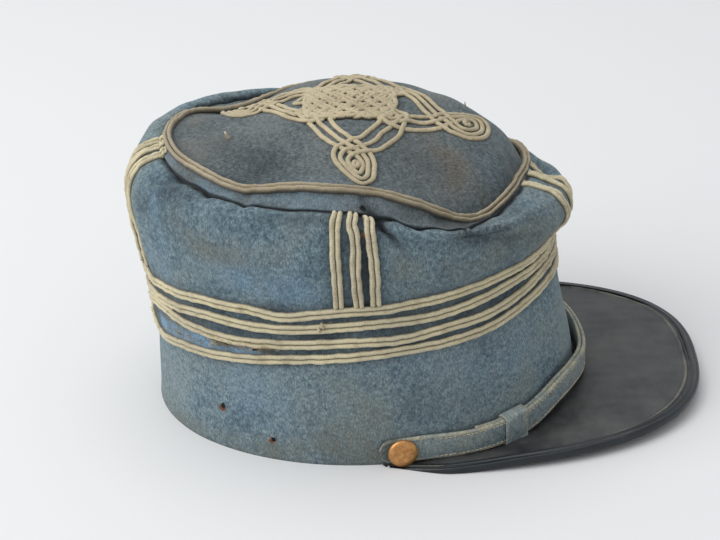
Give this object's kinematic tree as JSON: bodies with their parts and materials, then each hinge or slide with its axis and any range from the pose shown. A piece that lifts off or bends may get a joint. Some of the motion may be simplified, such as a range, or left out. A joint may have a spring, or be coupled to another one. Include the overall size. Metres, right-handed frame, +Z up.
{
  "type": "kepi cap",
  "caption": "Kepi cap with an oval band, a dented crown, flat braids with a braid knot, a stiff leather peak and a two-part chin strap on buttons.",
  "frame": {"origin": "on the surface the rim stands on, under the middle of the bounding box", "axes": "+Z up, -Y the way the peak points, -X the wearer's right side"},
  "size_m": [0.185, 0.2702, 0.145],
  "materials": {
    "band_cloth": "matte, worn",
    "wall_cloth": "matte, worn",
    "crown_cloth": "matte, soiled",
    "braid": "matte, aged",
    "peak_leather": "worn gloss",
    "bound_edge": "lacquered, worn",
    "strap_cloth": "matte, stitched",
    "brass": "tarnished"
  },
  "bodies": {
    "root": {"band": "band_cloth", "side_wall": "wall_cloth", "crown_top": "crown_cloth", "crown_braid": "braid", "band_braid_1": "braid", "band_braid_2": "braid", "band_braid_3": "braid", "band_braid_4": "braid", "front_braid_1": "braid", "front_braid_2": "braid", "front_braid_3": "braid", "right_braid_1": "braid", "right_braid_2": "braid", "right_braid_3": "braid", "back_braid_1": "braid", "back_braid_2": "braid", "back_braid_3": "braid", "left_braid_1": "braid", "left_braid_2": "braid", "left_braid_3": "braid", "crown_knot": "braid", "peak": "peak_leather", "peak_binding": "bound_edge", "strap_right": "strap_cloth", "strap_left": "strap_cloth", "strap_loop_right": "strap_cloth", "strap_loop_left": "strap_cloth", "button_right": "brass", "button_left": "brass"}
  },
  "joints": []
}
